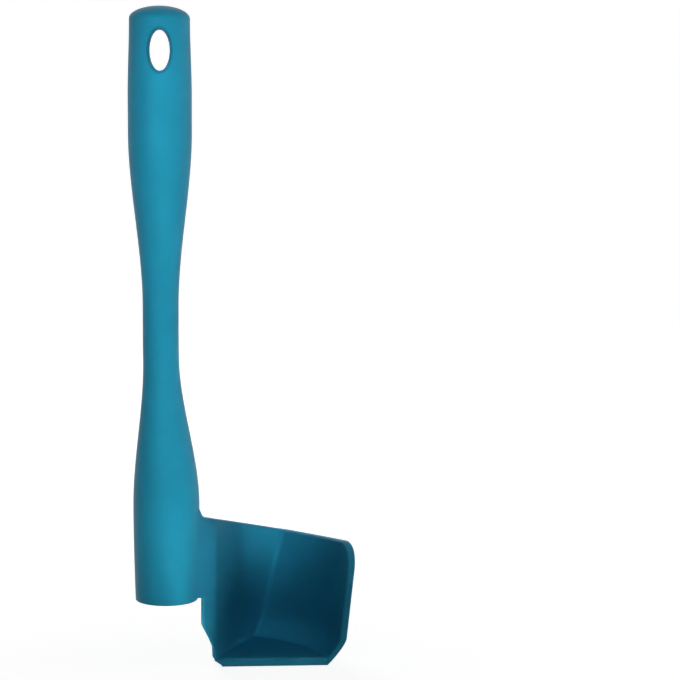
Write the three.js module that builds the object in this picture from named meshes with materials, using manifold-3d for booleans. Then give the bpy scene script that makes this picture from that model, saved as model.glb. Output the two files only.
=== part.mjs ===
// Rotating bowl spatula: a hollow handle in two shells, a hanging eyelet, a tangential scoop and a hub cup.
// Millimetres. Z is the turning axis and points up the handle, Z = 0 is the mouth of the socket,
// X points along the scraping edge, and Y points into the pocket of the scoop.
import * as THREE from 'three';
import { mergeVertices } from 'three/addons/utils/BufferGeometryUtils.js';
import Module from 'manifold-3d';

// Handle: radii and the lengths of its zones, stacked upwards from the mouth of the socket
const MOUTH_R = 13.3;
const SOCKET_R = 14.1;
const WAIST_R = 7.6;
const GRIP_R = 13.4;
const CROWN_R = 12.7;
const SOCKET_LENGTH = 41;
const NECK_LENGTH = 63.5;
const WAIST_LENGTH = 22;
const FLANK_LENGTH = 73.5;
const GRIP_LENGTH = 15;
const CROWN_LENGTH = 31.6;
const DOME_RISE = 5.4;
// Sideways crank of the grip, away from the scoop, and the length over which it grows
const CRANK = 2.1;
const CRANK_LENGTH = 70.5;
const HANDLE_WALL = 2.6;
const MOUTH_BEVEL = 0.8;
// Shares of the neck and of the flank where the two hollows end
const NECK_HOLLOW = 0.82;
const FLANK_HOLLOW = 0.12;

// Hanging eyelet: half width and half height of its opening, and its depth below the shoulder of the dome
const EYE_HALF_WIDTH = 4.2;
const EYE_HALF_HEIGHT = 8.5;
const EYE_DROP = 13;
const EYELET_WALL = 1.2;
const EYELET_COLLAR = 1.4;
const EYELET_COLLAR_LENGTH = 13;

// Hub cup, the bearing inside the socket
const SOCKET_WALL = 2.1;
const CUP_WALL = 1.9;
const CUP_ROOF = 6.4;
const CUP_RECESS = 0.8;
const CUP_DRAFT = 0.3;
const CUP_BEVEL = 0.65;
const COLLAR_LIP = 1.1;
const COLLAR_HEIGHT = 3.4;
const PARTITION = 2.6;

// Scoop wall in plan: it leaves the socket along a tangent, folds back, bulges to the corner and sweeps
// forward. Lean, bulge, corner, sweep and reach are given at the level of the sole and of the rim.
const WALL = 3.4;
const ROOT_ANGLE = -40;
const ROOT_PROUD = 0.1;
const ROOT_RUN = 16;
const FOLD_R = 8;
const SOLE_LEAN = 72;
const RIM_LEAN = 64;
const SOLE_BULGE = 180;
const RIM_BULGE = 82;
const SOLE_CORNER = 4;
const RIM_CORNER = 5;
const SOLE_SWEEP = 61.8;
const RIM_SWEEP = 75.6;
const SOLE_REACH = 75.3;
const RIM_REACH = 82.8;
const MOUTH_HEADING = -78;
const LIP_Y = 4;

// Scoop in height: sole below the socket, rim at the socket, and the slopes of the plane that trims the rim
const SOLE_DROP = 31.5;
const FLOOR = 3.8;
const RIM_HEIGHT = 36.1;
const RIM_FALL = 0.187;
const FOOT_INSET = 7;
const FOOT_RISE = 11.5;
const FOOT_EASE = 1.4;
const RIM_ROUND = 12.5;
const ROOT_FILLET = 2.4;
const ROOT_RISE = 5;

// Free edge of the wall under the socket
const NOTCH_GAP = 0.9;
const NOTCH_DROP = 11.5;
const NOTCH_IN = 3;
const NOTCH_RUN = 6;
const HEEL_IN = 2.4;
const HEEL = 4.6;
const HEEL_SLANT = 0.7;
const HEEL_RUN = 3.2;

// Weld pegs of the scoop and the locating peg of the shells
const ROOT_PEG_R = 1.2;
const ROOT_PEG_ANGLE = -10;
const ROOT_PEG_LOW = 8;
const ROOT_PEG_HIGH = 26;
const ROOT_PEG_FOOT = 0.4;
const NECK_PEG_R = 2.6;
const NECK_PEG_LENGTH = 4.2;

// Clearances, and how far a cutting shape runs past the solid that it cuts
const SEAM = 0.3;
const CUP_GAP = 0.3;
const OVERCUT = 2;

// Facets round the handle, and steps along the straight run and the fold of the scoop
const ROUND = 32;
const RUN_STEPS = 4;
const FOLD_STEPS = 4;

// Heights that follow from the lengths
const NECK_Z = SOCKET_LENGTH;
const WAIST_Z = NECK_Z + NECK_LENGTH;
const FLANK_Z = WAIST_Z + WAIST_LENGTH;
const GRIP_Z = FLANK_Z + FLANK_LENGTH;
const CROWN_Z = GRIP_Z + GRIP_LENGTH;
const DOME_Z = CROWN_Z + CROWN_LENGTH;
const APEX_Z = DOME_Z + DOME_RISE;
const EYE_Z = DOME_Z - EYE_DROP;
const BORE_R = MOUTH_R - SOCKET_WALL;
const CUP_R = BORE_R - CUP_GAP;
const COLLAR_R = CUP_R + COLLAR_LIP;
const CUP_TOP_Z = SOCKET_LENGTH - PARTITION - CUP_GAP;
const SEAT_Z = CUP_TOP_Z - CUP_ROOF;
const SOLE_Z = -SOLE_DROP;
const LEVEL_Z = RIM_HEIGHT + ROOT_RISE;

const { lerp, clamp, degToRad, radToDeg, smoothstep } = THREE.MathUtils;

const wasm = await Module();
wasm.setup();

// Turns a closed geometry into a solid with its faces outward.
function solidOf(geometry) {
  const plain = geometry.index ? geometry.toNonIndexed() : geometry.clone();
  plain.deleteAttribute('normal');
  plain.deleteAttribute('uv');
  const merged = mergeVertices(plain, 1e-4);
  const index = merged.index.array;
  const kept = [];
  for (let i = 0; i < index.length; i += 3) {
    const [a, b, c] = [index[i], index[i + 1], index[i + 2]];
    if (a !== b && b !== c && c !== a) kept.push(a, b, c);
  }
  const vertProperties = Float32Array.from(merged.attributes.position.array);
  const build = (order) => new wasm.Manifold(new wasm.Mesh({
    numProp: 3, vertProperties, triVerts: Uint32Array.from(order),
  }));
  const solid = build(kept);
  if (solid.volume() > 0) return solid;
  return build(kept.reverse());
}

// A named mesh from a solid.
function meshOf(name, solid, color, roughness) {
  const { vertProperties, triVerts } = solid.getMesh();
  const geometry = new THREE.BufferGeometry();
  geometry.setAttribute('position', new THREE.BufferAttribute(Float32Array.from(vertProperties), 3));
  geometry.setIndex(Array.from(triVerts));
  geometry.computeVertexNormals();
  const mesh = new THREE.Mesh(geometry, new THREE.MeshStandardMaterial({ color, roughness, metalness: 0 }));
  mesh.name = name;
  return mesh;
}

// Handle radius at a height: the socket swells, the neck narrows, the flank widens and the crown closes in.
function radiusAt(z) {
  const socket = lerp(MOUTH_R, SOCKET_R, Math.sin(0.5 * Math.PI * clamp(z / NECK_Z, 0, 1)));
  const neck = lerp(socket, WAIST_R, smoothstep(z, NECK_Z, WAIST_Z));
  const flank = lerp(neck, GRIP_R, smoothstep(z, FLANK_Z, GRIP_Z));
  return lerp(flank, CROWN_R, smoothstep(z, CROWN_Z, DOME_Z));
}

// Sideways place of the handle's centre line at a height.
const crankAt = (z) => -CRANK * smoothstep(z, NECK_Z, NECK_Z + CRANK_LENGTH);

// Revolves a list of [radius, height] about Z and lets every ring follow the cranked centre line.
function revolve(profile) {
  const points = profile.map(([r, z]) => new THREE.Vector2(r, z));
  const geometry = new THREE.LatheGeometry(points, ROUND, Math.PI / ROUND, 2 * Math.PI);
  geometry.rotateX(Math.PI / 2);
  const place = geometry.attributes.position;
  for (let i = 0; i < place.count; i += 1) place.setX(i, place.getX(i) + crankAt(place.getZ(i)));
  return solidOf(geometry);
}

// Evenly spaced values from one end to the other, both included.
const spread = (from, to, steps) => Array.from({ length: steps + 1 }, (_, i) => lerp(from, to, i / steps));

// The side of the handle between two heights, moved inwards by a wall.
function side(low, high, steps, inset) {
  return spread(low, high, steps).map((z) => [radiusAt(z) - inset, z]);
}

// The domed end, a quarter ellipse, moved inwards by a wall and ending on the axis.
function dome(inset) {
  return spread(0, Math.PI / 2, 5).slice(1).map((a, i) => [
    i === 4 ? 0 : (CROWN_R - inset) * Math.cos(a),
    DOME_Z + (DOME_RISE - inset) * Math.sin(a),
  ]);
}

// The outside of the handle, grown evenly by a clearance.
function handleOutside(grow) {
  const mouth = [[0, -grow], [MOUTH_R - MOUTH_BEVEL + grow, -grow], [MOUTH_R + grow, MOUTH_BEVEL - grow]];
  const zones = [
    ...side(MOUTH_BEVEL * 2, NECK_Z, 5, -grow), ...side(NECK_Z, WAIST_Z, 11, -grow).slice(1),
    ...side(WAIST_Z, FLANK_Z, 2, -grow).slice(1), ...side(FLANK_Z, GRIP_Z, 11, -grow).slice(1),
    ...side(GRIP_Z, CROWN_Z, 2, -grow).slice(1), ...side(CROWN_Z, DOME_Z, 4, -grow).slice(1),
  ];
  return revolve([...mouth, ...zones, ...dome(-grow)]);
}

// A box between two corners.
function box(low, high) {
  const geometry = new THREE.BoxGeometry(high[0] - low[0], high[1] - low[1], high[2] - low[2]);
  geometry.translate((low[0] + high[0]) / 2, (low[1] + high[1]) / 2, (low[2] + high[2]) / 2);
  return solidOf(geometry);
}

// A round bar from a point along a direction.
function bar(radius, start, direction, length, facets) {
  const geometry = new THREE.CylinderGeometry(radius, radius, length, facets);
  geometry.translate(0, length / 2, 0);
  const along = new THREE.Vector3(...direction).normalize();
  geometry.applyQuaternion(new THREE.Quaternion().setFromUnitVectors(new THREE.Vector3(0, 1, 0), along));
  geometry.translate(...start);
  return solidOf(geometry);
}

// An elliptical bar through the handle at the height of the eyelet, grown by a margin.
function eyeBar(grow, halfLength) {
  const outline = new THREE.Shape();
  outline.absellipse(0, 0, EYE_HALF_WIDTH + grow, EYE_HALF_HEIGHT + grow, 0, 2 * Math.PI);
  const geometry = new THREE.ExtrudeGeometry(outline, {
    depth: 2 * halfLength, bevelEnabled: false, curveSegments: 14,
  });
  geometry.translate(0, 0, -halfLength);
  geometry.rotateX(Math.PI / 2);
  geometry.translate(crankAt(EYE_Z), 0, EYE_Z);
  return solidOf(geometry);
}

// Hollows of the handle: a chamber in the neck and one in the grip, with a solid waist between them.
function chambers() {
  const low = SOCKET_LENGTH;
  const neckEnd = lerp(NECK_Z, WAIST_Z, NECK_HOLLOW);
  const gripStart = lerp(FLANK_Z, GRIP_Z, FLANK_HOLLOW);
  const neck = revolve([
    [0, low], ...side(low, neckEnd, 8, HANDLE_WALL), [0, neckEnd + HANDLE_WALL],
  ]);
  const grip = revolve([
    [0, gripStart - HANDLE_WALL], ...side(gripStart, GRIP_Z, 8, HANDLE_WALL),
    ...side(GRIP_Z, CROWN_Z, 2, HANDLE_WALL).slice(1), ...side(CROWN_Z, DOME_Z, 3, HANDLE_WALL).slice(1),
    ...dome(HANDLE_WALL),
  ]);
  return neck.add(grip);
}

// The hollow of the socket: the bore for the cup and the wider groove for its collar.
function socketHollow() {
  const grooveR = COLLAR_R + CUP_GAP;
  const grooveLow = CUP_TOP_Z - COLLAR_HEIGHT - CUP_GAP;
  const grooveHigh = CUP_TOP_Z + CUP_GAP;
  return revolve([
    [0, -OVERCUT], [BORE_R, -OVERCUT], [BORE_R, grooveLow],
    [grooveR, grooveLow], [grooveR, grooveHigh], [0, grooveHigh],
  ]);
}

// The cup that stays on the hub: blind and slightly tapered bore, flat seat, and a collar on top.
function hubCup() {
  const seatR = CUP_R - CUP_WALL;
  const mouthR = seatR + CUP_DRAFT;
  const profile = [
    [0, SEAT_Z], [seatR, SEAT_Z], [mouthR, CUP_RECESS + 2 * CUP_BEVEL], [mouthR + CUP_BEVEL, CUP_RECESS],
    [CUP_R - CUP_BEVEL, CUP_RECESS], [CUP_R, CUP_RECESS + CUP_BEVEL], [CUP_R, CUP_TOP_Z - COLLAR_HEIGHT],
    [COLLAR_R, CUP_TOP_Z - COLLAR_HEIGHT], [COLLAR_R, CUP_TOP_Z - CUP_BEVEL],
    [COLLAR_R - CUP_BEVEL, CUP_TOP_Z], [0, CUP_TOP_Z],
  ];
  return revolve(profile);
}

// Walks a line in plan. A move is a straight run, or a bend of a radius and an angle, positive to the left.
function walk(x, y, heading, moves) {
  const track = [];
  for (const { run, bend, radius, steps } of moves) {
    for (let i = 0; i < steps; i += 1) {
      track.push({ x, y, heading });
      if (run !== undefined) {
        x += (run / steps) * Math.cos(heading);
        y += (run / steps) * Math.sin(heading);
      } else {
        const turn = bend / steps;
        const chord = 2 * radius * Math.sin(Math.abs(turn) / 2);
        x += chord * Math.cos(heading + turn / 2);
        y += chord * Math.sin(heading + turn / 2);
        heading += turn;
      }
    }
  }
  track.push({ x, y, heading });
  return track;
}

// The middle line of the wall in plan at one level. Three arcs follow the fold, each tangent to the next from
// inside: the bulge of the back wall, the corner, and the sweep, which meets the lip with a set reach and
// heading. A short straight run past the lip leaves stock for a square front edge.
function planLine(lean, bulge, corner, sweep, reach) {
  const root = degToRad(ROOT_ANGLE);
  const start = root + Math.PI / 2;
  const away = MOUTH_R + ROOT_PROUD - WALL / 2;
  const foot = [away * Math.cos(root), away * Math.sin(root)];
  const phi = degToRad(lean);
  const end = degToRad(MOUTH_HEADING);
  const head = [
    { run: ROOT_RUN, steps: RUN_STEPS },
    { bend: phi - start, radius: FOLD_R, steps: FOLD_STEPS },
  ];
  const fold = walk(...foot, start, head).pop();
  const centreBulge = new THREE.Vector2(fold.x + bulge * Math.sin(phi), fold.y - bulge * Math.cos(phi));
  const centreSweep = new THREE.Vector2(reach + sweep * Math.sin(end), LIP_Y - sweep * Math.cos(end));
  const across = centreSweep.clone().sub(centreBulge);
  const gap = across.length();
  const toBulge = bulge - corner;
  const toSweep = sweep - corner;
  const along = (gap ** 2 + toBulge ** 2 - toSweep ** 2) / (2 * gap);
  const aside = Math.sqrt(toBulge ** 2 - along ** 2);
  across.divideScalar(gap);
  const centreCorner = new THREE.Vector2(
    centreBulge.x + along * across.x + aside * across.y,
    centreBulge.y + along * across.y - aside * across.x,
  );
  const headingFrom = (centre) => centreCorner.clone().sub(centre).angle() - Math.PI / 2;
  const enter = headingFrom(centreBulge);
  const leave = headingFrom(centreSweep);
  return walk(...foot, start, [
    ...head,
    { bend: enter - phi, radius: bulge, steps: 8 },
    { bend: leave - enter, radius: corner, steps: 8 },
    { bend: end - leave, radius: sweep, steps: 14 },
    { run: WALL / 2, steps: 1 },
  ]);
}

// How far the foot of the sweep is drawn in at a height above the sole: a bevel that eases into the wall.
function footInset(z) {
  const left = clamp(1 - (z - SOLE_Z) / FOOT_RISE, 0, 1);
  return FOOT_INSET * left ** FOOT_EASE;
}

// The wall's line at a height, offset to the left of the walk. The foot draws the sweep in about its centre.
function offsetLine(z, offset) {
  const level = (z - SOLE_Z) / (LEVEL_Z - SOLE_Z);
  const inset = footInset(z);
  const line = planLine(
    lerp(SOLE_LEAN, RIM_LEAN, level),
    lerp(SOLE_BULGE, RIM_BULGE, level),
    lerp(SOLE_CORNER, RIM_CORNER, level),
    lerp(SOLE_SWEEP, RIM_SWEEP, level) - inset,
    lerp(SOLE_REACH, RIM_REACH, level) - inset,
  );
  return line.map(({ x, y, heading }) => (
    new THREE.Vector2(x - offset * Math.sin(heading), y + offset * Math.cos(heading))
  ));
}

// A solid through closed outlines with the same number of points, one for each height.
function loft(sections, heights) {
  const turned = THREE.ShapeUtils.isClockWise(sections[0]);
  const outlines = sections.map((section) => (turned ? section.slice().reverse() : section));
  const count = outlines[0].length;
  const position = [];
  outlines.forEach((outline, k) => outline.forEach((p) => position.push(p.x, p.y, heights[k])));
  const index = [];
  for (let k = 0; k + 1 < outlines.length; k += 1) {
    for (let i = 0; i < count; i += 1) {
      const a = k * count + i;
      const b = k * count + ((i + 1) % count);
      index.push(a, b, b + count, a, b + count, a + count);
    }
  }
  const top = (outlines.length - 1) * count;
  const { triangulateShape } = THREE.ShapeUtils;
  for (const [a, b, c] of triangulateShape(outlines[0], [])) index.push(a, c, b);
  for (const [a, b, c] of triangulateShape(outlines.at(-1), [])) index.push(top + a, top + b, top + c);
  const geometry = new THREE.BufferGeometry();
  geometry.setAttribute('position', new THREE.BufferAttribute(Float32Array.from(position), 3));
  geometry.setIndex(index);
  return solidOf(geometry);
}

// The trimming plane of the rim, given by its height at a place in plan.
const rimAt = (x, y) => RIM_HEIGHT - RIM_FALL * (x - SOCKET_R + y);

// Everything above the plane of the rim.
function aboveRim() {
  const reach = 4 * RIM_REACH;
  const geometry = new THREE.BoxGeometry(reach, reach, RIM_REACH);
  geometry.translate(0, 0, RIM_REACH / 2);
  const up = new THREE.Vector3(RIM_FALL, RIM_FALL, 1).normalize();
  geometry.applyQuaternion(new THREE.Quaternion().setFromUnitVectors(new THREE.Vector3(0, 0, 1), up));
  geometry.translate(SOCKET_R, 0, RIM_HEIGHT);
  return solidOf(geometry);
}

// Carries a shape drawn in X and Z through a stretch of Y.
function throughY(shape, from, to) {
  const geometry = new THREE.ExtrudeGeometry(shape, {
    depth: to - from, bevelEnabled: false, curveSegments: 8,
  });
  geometry.rotateX(Math.PI / 2);
  geometry.translate(0, to, 0);
  return solidOf(geometry);
}

// What is cut away under the socket: the free edge of the wall and the slanted heel beside the lip.
function notch() {
  const edge = SOCKET_R + NOTCH_GAP;
  const heel = edge + NOTCH_IN + HEEL_IN;
  const shape = new THREE.Shape();
  shape.moveTo(0, MOUTH_BEVEL * 2);
  shape.lineTo(edge, MOUTH_BEVEL * 2);
  shape.lineTo(edge, -NOTCH_DROP);
  shape.lineTo(edge + NOTCH_IN, -NOTCH_DROP - NOTCH_RUN);
  shape.lineTo(heel, SOLE_Z + HEEL);
  shape.quadraticCurveTo(heel + HEEL_SLANT, SOLE_Z, heel + HEEL_RUN, SOLE_Z);
  shape.lineTo(heel + HEEL_RUN, SOLE_Z - OVERCUT);
  shape.lineTo(0, SOLE_Z - OVERCUT);
  shape.closePath();
  return throughY(shape, -SOCKET_R * 2, RIM_REACH);
}

// What is cut away to round the front end of the rim. The round lies along the rim's fall in X, and is
// tangent to the front and to the plane of the rim.
function rimRounding() {
  const steep = Math.sqrt(1 + 2 * RIM_FALL ** 2);
  const middle = [RIM_REACH, LIP_Y + RIM_ROUND, rimAt(RIM_REACH, LIP_Y + RIM_ROUND) - RIM_ROUND * steep];
  const back = (RIM_ROUND * RIM_FALL) / steep;
  const block = box([-RIM_REACH / 4, -RIM_ROUND - OVERCUT, 0], [RIM_REACH / 4, back, 2 * RIM_ROUND]);
  const round = bar(RIM_ROUND, [-RIM_REACH / 2, 0, 0], [1, 0, 0], RIM_REACH, 48);
  return block.subtract(round).rotate([0, radToDeg(Math.atan(RIM_FALL)), 0]).translate(middle);
}

// The ring round the socket whose flared foot rounds the inner corner between the socket and the rim.
function rootRing() {
  const flare = new THREE.QuadraticBezierCurve(
    new THREE.Vector2(SOCKET_R + ROOT_FILLET, RIM_HEIGHT - RIM_FALL * ROOT_FILLET),
    new THREE.Vector2(SOCKET_R + SEAM, RIM_HEIGHT),
    new THREE.Vector2(SOCKET_R + SEAM, LEVEL_Z),
  );
  const low = RIM_HEIGHT - ROOT_RISE;
  const profile = flare.getPoints(6).map((p) => [p.x, p.y]);
  return revolve([[0, low], [SOCKET_R + ROOT_FILLET, low], ...profile, [0, LEVEL_Z]]);
}

// The two pegs that enter the front shell, grown by a clearance.
function rootPegs(grow) {
  const angle = degToRad(ROOT_PEG_ANGLE);
  const direction = [Math.cos(angle), Math.sin(angle), 0];
  const from = grow > 0 ? BORE_R - OVERCUT / 2 : BORE_R + SEAM;
  const start = direction.map((d) => from * d);
  const peg = (z) => bar(ROOT_PEG_R + grow, [start[0], start[1], z], direction, 2 * SOCKET_WALL, 16);
  return peg(ROOT_PEG_LOW).add(peg(ROOT_PEG_HIGH));
}

// The scoop: wall and floor, trimmed at the rim, the lip and the notch, and seated on the socket.
function scoop() {
  const heights = [
    ...spread(SOLE_Z, SOLE_Z + FOOT_RISE, 4), ...spread(SOLE_Z + FOOT_RISE, LEVEL_Z, 4).slice(1),
  ];
  const band = heights.map((z) => [...offsetLine(z, WALL / 2), ...offsetLine(z, -WALL / 2).reverse()]);
  const floorHeights = spread(SOLE_Z, SOLE_Z + FLOOR, 2);
  const plate = floorHeights.map((z) => offsetLine(z, 0).slice(RUN_STEPS + FOLD_STEPS / 2));
  const front = box([-RIM_REACH, LIP_Y, SOLE_Z - OVERCUT], [2 * RIM_REACH, 2 * RIM_REACH, LEVEL_Z]);
  const floor = loft(plate, floorHeights).intersect(front);
  const reachBox = box(
    [RIM_REACH / 2, LIP_Y - 2 * WALL, SOLE_Z - OVERCUT], [2 * RIM_REACH, LIP_Y, LEVEL_Z + OVERCUT],
  );
  const wall = loft(band, heights);
  const tray = wall.subtract(reachBox).add(floor);
  const body = tray.subtract(aboveRim()).subtract(notch()).subtract(rimRounding());
  const pegs = rootPegs(0).intersect(handleOutside(SEAM + ROOT_PEG_FOOT));
  return body.add(wall.intersect(rootRing())).subtract(handleOutside(SEAM)).add(pegs);
}

const PETROL = 0x238aa9;
const DEEP_PETROL = 0x1b6a84;

const outside = handleOutside(0);
const tube = outside.subtract(chambers()).subtract(socketHollow());
const eyeHole = eyeBar(EYELET_WALL + SEAM, 2 * GRIP_R);
const casing = tube.subtract(eyeHole).subtract(rootPegs(SEAM));
const far = 2 * APEX_Z;
const frontHalf = box([-far, -far, -far], [far, 0, far]);
const backHalf = box([-far, 0, -far], [far, far, far]);
const pegZ = (WAIST_Z + FLANK_Z) / 2;
const pegFoot = [crankAt(pegZ), -OVERCUT, pegZ];
const pegRun = OVERCUT + NECK_PEG_LENGTH;
const neckPeg = bar(NECK_PEG_R, pegFoot, [0, 1, 0], pegRun, 20);
const neckHole = bar(NECK_PEG_R + SEAM, pegFoot, [0, 1, 0], pegRun + SEAM, 20);
const eyelet = eyeBar(EYELET_WALL, 2 * GRIP_R).intersect(outside)
  .add(eyeBar(EYELET_WALL + EYELET_COLLAR, EYELET_COLLAR_LENGTH / 2))
  .subtract(eyeBar(0, 3 * GRIP_R));

const part = new THREE.Group();
part.name = 'rotating_spatula';
part.add(meshOf('handle_front_shell', casing.intersect(frontHalf).add(neckPeg), PETROL, 0.5));
part.add(meshOf('handle_back_shell', casing.intersect(backHalf).subtract(neckHole), PETROL, 0.5));
part.add(meshOf('hang_eyelet', eyelet, DEEP_PETROL, 0.5));
part.add(meshOf('scoop', scoop(), PETROL, 0.5));
part.add(meshOf('hub_cup', hubCup(), DEEP_PETROL, 0.4));

export default part;
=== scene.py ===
"""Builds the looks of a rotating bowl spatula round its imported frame, as a small add-on.

Lengths are metres. Z is the turning axis, Z = 0 is the mouth of the socket, X runs along the scraping edge,
and Y points into the pocket of the scoop.
"""
import math
from types import SimpleNamespace

import bmesh
import bpy
import numpy as np
from bpy.props import FloatProperty, FloatVectorProperty, PointerProperty
from mathutils import Matrix, Vector


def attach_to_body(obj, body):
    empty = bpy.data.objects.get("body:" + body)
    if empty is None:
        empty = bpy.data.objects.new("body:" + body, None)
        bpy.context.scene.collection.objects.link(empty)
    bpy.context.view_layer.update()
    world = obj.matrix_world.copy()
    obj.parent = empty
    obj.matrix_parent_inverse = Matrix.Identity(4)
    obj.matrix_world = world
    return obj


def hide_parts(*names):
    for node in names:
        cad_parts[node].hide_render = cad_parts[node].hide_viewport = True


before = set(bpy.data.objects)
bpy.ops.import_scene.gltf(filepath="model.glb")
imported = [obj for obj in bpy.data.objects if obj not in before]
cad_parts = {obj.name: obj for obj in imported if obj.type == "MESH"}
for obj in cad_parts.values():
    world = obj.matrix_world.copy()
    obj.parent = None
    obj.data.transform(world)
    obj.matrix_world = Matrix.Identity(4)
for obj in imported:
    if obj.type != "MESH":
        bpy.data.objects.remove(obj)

bl_info = {
    "name": "Rotating bowl spatula",
    "version": (1, 0, 0),
    "blender": (4, 5, 0),
    "location": "View3D > Sidebar > Spatula",
    "description": "Builds the pieces of a rotating bowl spatula and a plain stage for them",
    "category": "Mesh",
}

# Distances for merging and dividing, the angle of a sharp edge, and the share of an edge a corner may take.
MERGE = 3e-7
SLIVER = 1e-7
TINY = 1e-9
SHARP = math.radians(55.0)
CORNER_SHARE = 0.45

# Rows of the handle's profile from the mouth to the dome.
LIP_ROWS = 8
BORE_ROWS = 14
NECK_ROWS = 40
WAIST_ROWS = 15
GRIP_ROWS = 44
DOME_ROWS = 14

# Shares of the neck and of the flank where the handle's hollows end and start.
NECK_HOLLOW = 0.82
GRIP_HOLLOW = 0.12

# Columns of a shell: angles close to the parting plane, then even steps up to the hanging hole's block.
PARTING_TURNS = (0.0, 0.0012, 0.0028, 0.0050, 0.0085, 0.0130, 0.0250)
SIDE_START = 0.05
SIDE_COLUMNS = 17

# The block: cells on each side of its centre, how many of them are left out, and its half height.
HOLE_CELLS = 22
HOLE_RINGS = 11
HOLE_REACH = 0.0130

# Radius within which the parting line fades out towards the pole.
POLE_FADE = 0.003

# Rows of the eyelet's section, half the length of its straight opening, and the share of its flat end.
EYELET_LIP_ROWS = 7
EYELET_RUN_ROWS = 13
EYELET_RUN = 0.008
EYELET_END = 0.75

# Steps round the eyelet and the cup, and points on each softened edge of the cup.
TURN_STEPS = 128
SOFT_POINTS = 6

# Heights between which the scoop's wall passes from its free edge to the socket's skin.
SEAT_LOW = 0.0006
SEAT_HIGH = 0.0024

# Table that finds the free edge along the wall: its heights, its distances from the root, and a margin.
TABLE_ROWS = 700
TABLE_STEPS = 500
TABLE_RUN = (-0.004, 0.045)
MARGIN = 0.001

# Columns of the scoop from the socket to the front end, and the length of the last stretch.
EDGE_POINTS = 9
BACK_COLUMNS = 90
CORNER_COLUMNS = 24
OUTER_COLUMNS = 60
FRONT_COLUMNS = 43
FRONT_RUN = 0.020

# Rows of the scoop from the rim to the lip, and the heights of the ledge at the socket's mouth.
RIM_ROWS = 26
LEDGE_ROWS = 10
WALL_ROWS = 18
FOOT_ROWS = 22
BEND_ROWS = 8
FLOOR_ROWS = 26
LEDGE_HIGH = 0.0030
LEDGE_LOW = 0.0002

# Power of the curve that draws the foot in, and points on the heel's round.
FOOT_CURVE = 1.4
HEEL_POINTS = 12

# A height above everything, and a distance at which the welded root counts as no free edge.
FAR_UP = 0.1
WELDED = 0.02

# Passes that settle a value which depends on itself, and where the search for the rim starts.
PASSES = 3
RIM_PASSES = 14
RIM_START = 0.6

# Distances over which wear fades from an edge.
MOUTH_WEAR = 0.0012
DOME_WEAR = 0.004
CUP_WEAR = 0.001
EDGE_WEAR = 0.0008

# Roughness of the outer pieces and of the cup.
MATTE = 0.46
SMOOTH = 0.38


def length(name, default, description):
    """A length in metres."""
    return FloatProperty(name=name, description=description, default=default, min=0.0, precision=5,
                         unit="LENGTH", subtype="DISTANCE")


def angle(name, degrees, description):
    """An angle, given in degrees and kept in radians."""
    return FloatProperty(name=name, description=description, default=math.radians(degrees),
                         unit="ROTATION", subtype="ANGLE")


def colour(name, default, description):
    """A colour in linear light."""
    return FloatVectorProperty(name=name, description=description, default=default, size=3, min=0.0, max=1.0,
                               subtype="COLOR")


def power(name, watts, description):
    """The power of a light."""
    return FloatProperty(name=name, description=description, default=watts, min=0.0, precision=4,
                         unit="POWER")


def number(name, default, description):
    """A plain number."""
    return FloatProperty(name=name, description=description, default=default, precision=4)


class HandleSizes(bpy.types.PropertyGroup):
    """Radii of the handle, the lengths of its zones from the mouth upwards, and its hollows."""

    mouth: length("Mouth radius", 0.0133, "Outer radius at the mouth of the socket")
    socket: length("Socket radius", 0.0141, "Outer radius at the top of the socket")
    waist: length("Waist radius", 0.0076, "Radius of the narrow waist")
    grip: length("Grip radius", 0.0134, "Largest radius of the grip")
    crown: length("Crown radius", 0.0127, "Radius under the dome")
    socket_length: length("Socket length", 0.041, "Height of the socket")
    neck_length: length("Neck length", 0.0635, "Height over which the neck narrows")
    waist_length: length("Waist length", 0.022, "Height of the waist")
    flank_length: length("Flank length", 0.0735, "Height over which the flank widens")
    grip_length: length("Grip length", 0.015, "Height of the widest part")
    crown_length: length("Crown length", 0.0316, "Height over which the crown closes in")
    dome: length("Dome rise", 0.0054, "Rise of the domed end")
    crank: length("Crank", 0.0021, "Sideways shift of the grip, away from the scoop")
    crank_length: length("Crank length", 0.0705, "Height over which the shift grows")
    wall: length("Wall", 0.0026, "Wall thickness of the hollow handle")
    socket_wall: length("Socket wall", 0.0021, "Wall thickness at the mouth of the socket")
    lip: length("Lip radius", 0.0005, "Edge radius at the mouth of the socket")
    parting: length("Parting radius", 0.00016, "Edge radius along the parting line of the shells")
    tint: colour("Petrol", (0.0168, 0.2540, 0.3968), "Colour of the handle")


class EyeletSizes(bpy.types.PropertyGroup):
    """Sizes of the sleeve that lines the hanging hole, and its colour: the handle's petrol, darkened as
    painted shade for the dark ring round the hole.
    """

    half_width: length("Half width", 0.0042, "Half width of the opening")
    half_height: length("Half height", 0.0085, "Half height of the opening")
    drop: length("Drop", 0.013, "Depth of the hole's centre below the dome")
    wall: length("Wall", 0.0012, "Wall thickness of the sleeve")
    gap: length("Gap", 0.0001, "Gap between the sleeve and the shells")
    collar: length("Collar", 0.0014, "How far the hidden collar stands out")
    collar_length: length("Collar length", 0.013, "Length of the hidden collar")
    lip: length("Lip radius", 0.0005, "Edge radius at the ends of the opening")
    # The eyelet's colour is the plastic's petrol darkened, as painted shade for the dark ring round the
    # hanging hole.
    tint: colour("Deep petrol", (0.0086, 0.1301, 0.2086), "Colour of the eyelet")


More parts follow.
